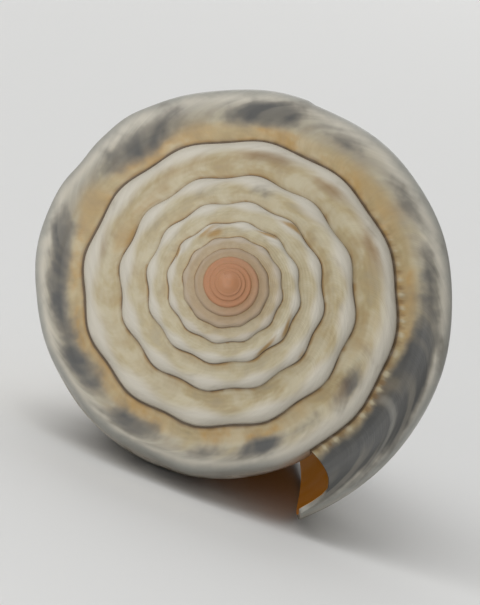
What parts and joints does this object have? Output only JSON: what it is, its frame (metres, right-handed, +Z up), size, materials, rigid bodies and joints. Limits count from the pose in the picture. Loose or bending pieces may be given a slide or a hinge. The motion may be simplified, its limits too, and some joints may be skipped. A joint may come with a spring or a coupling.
{
  "type": "cone shell",
  "caption": "Cone-shaped sea shell with a low, knobbly coiled spire, a tapering body whorl and a narrow open slot down one side, lying aperture down",
  "frame": {"origin": "on the surface the shell lies on, at the centre of its bounding box's underside", "axes": "Z up; the spire points to -Y and a little up, the narrow anterior end to +Y; the aperture faces down, with the lip's edge on the +X side"},
  "size_m": [0.0198, 0.0294, 0.0184],
  "materials": {
    "shell": "satin"
  },
  "bodies": {
    "root": {"shell": "shell"}
  },
  "joints": []
}
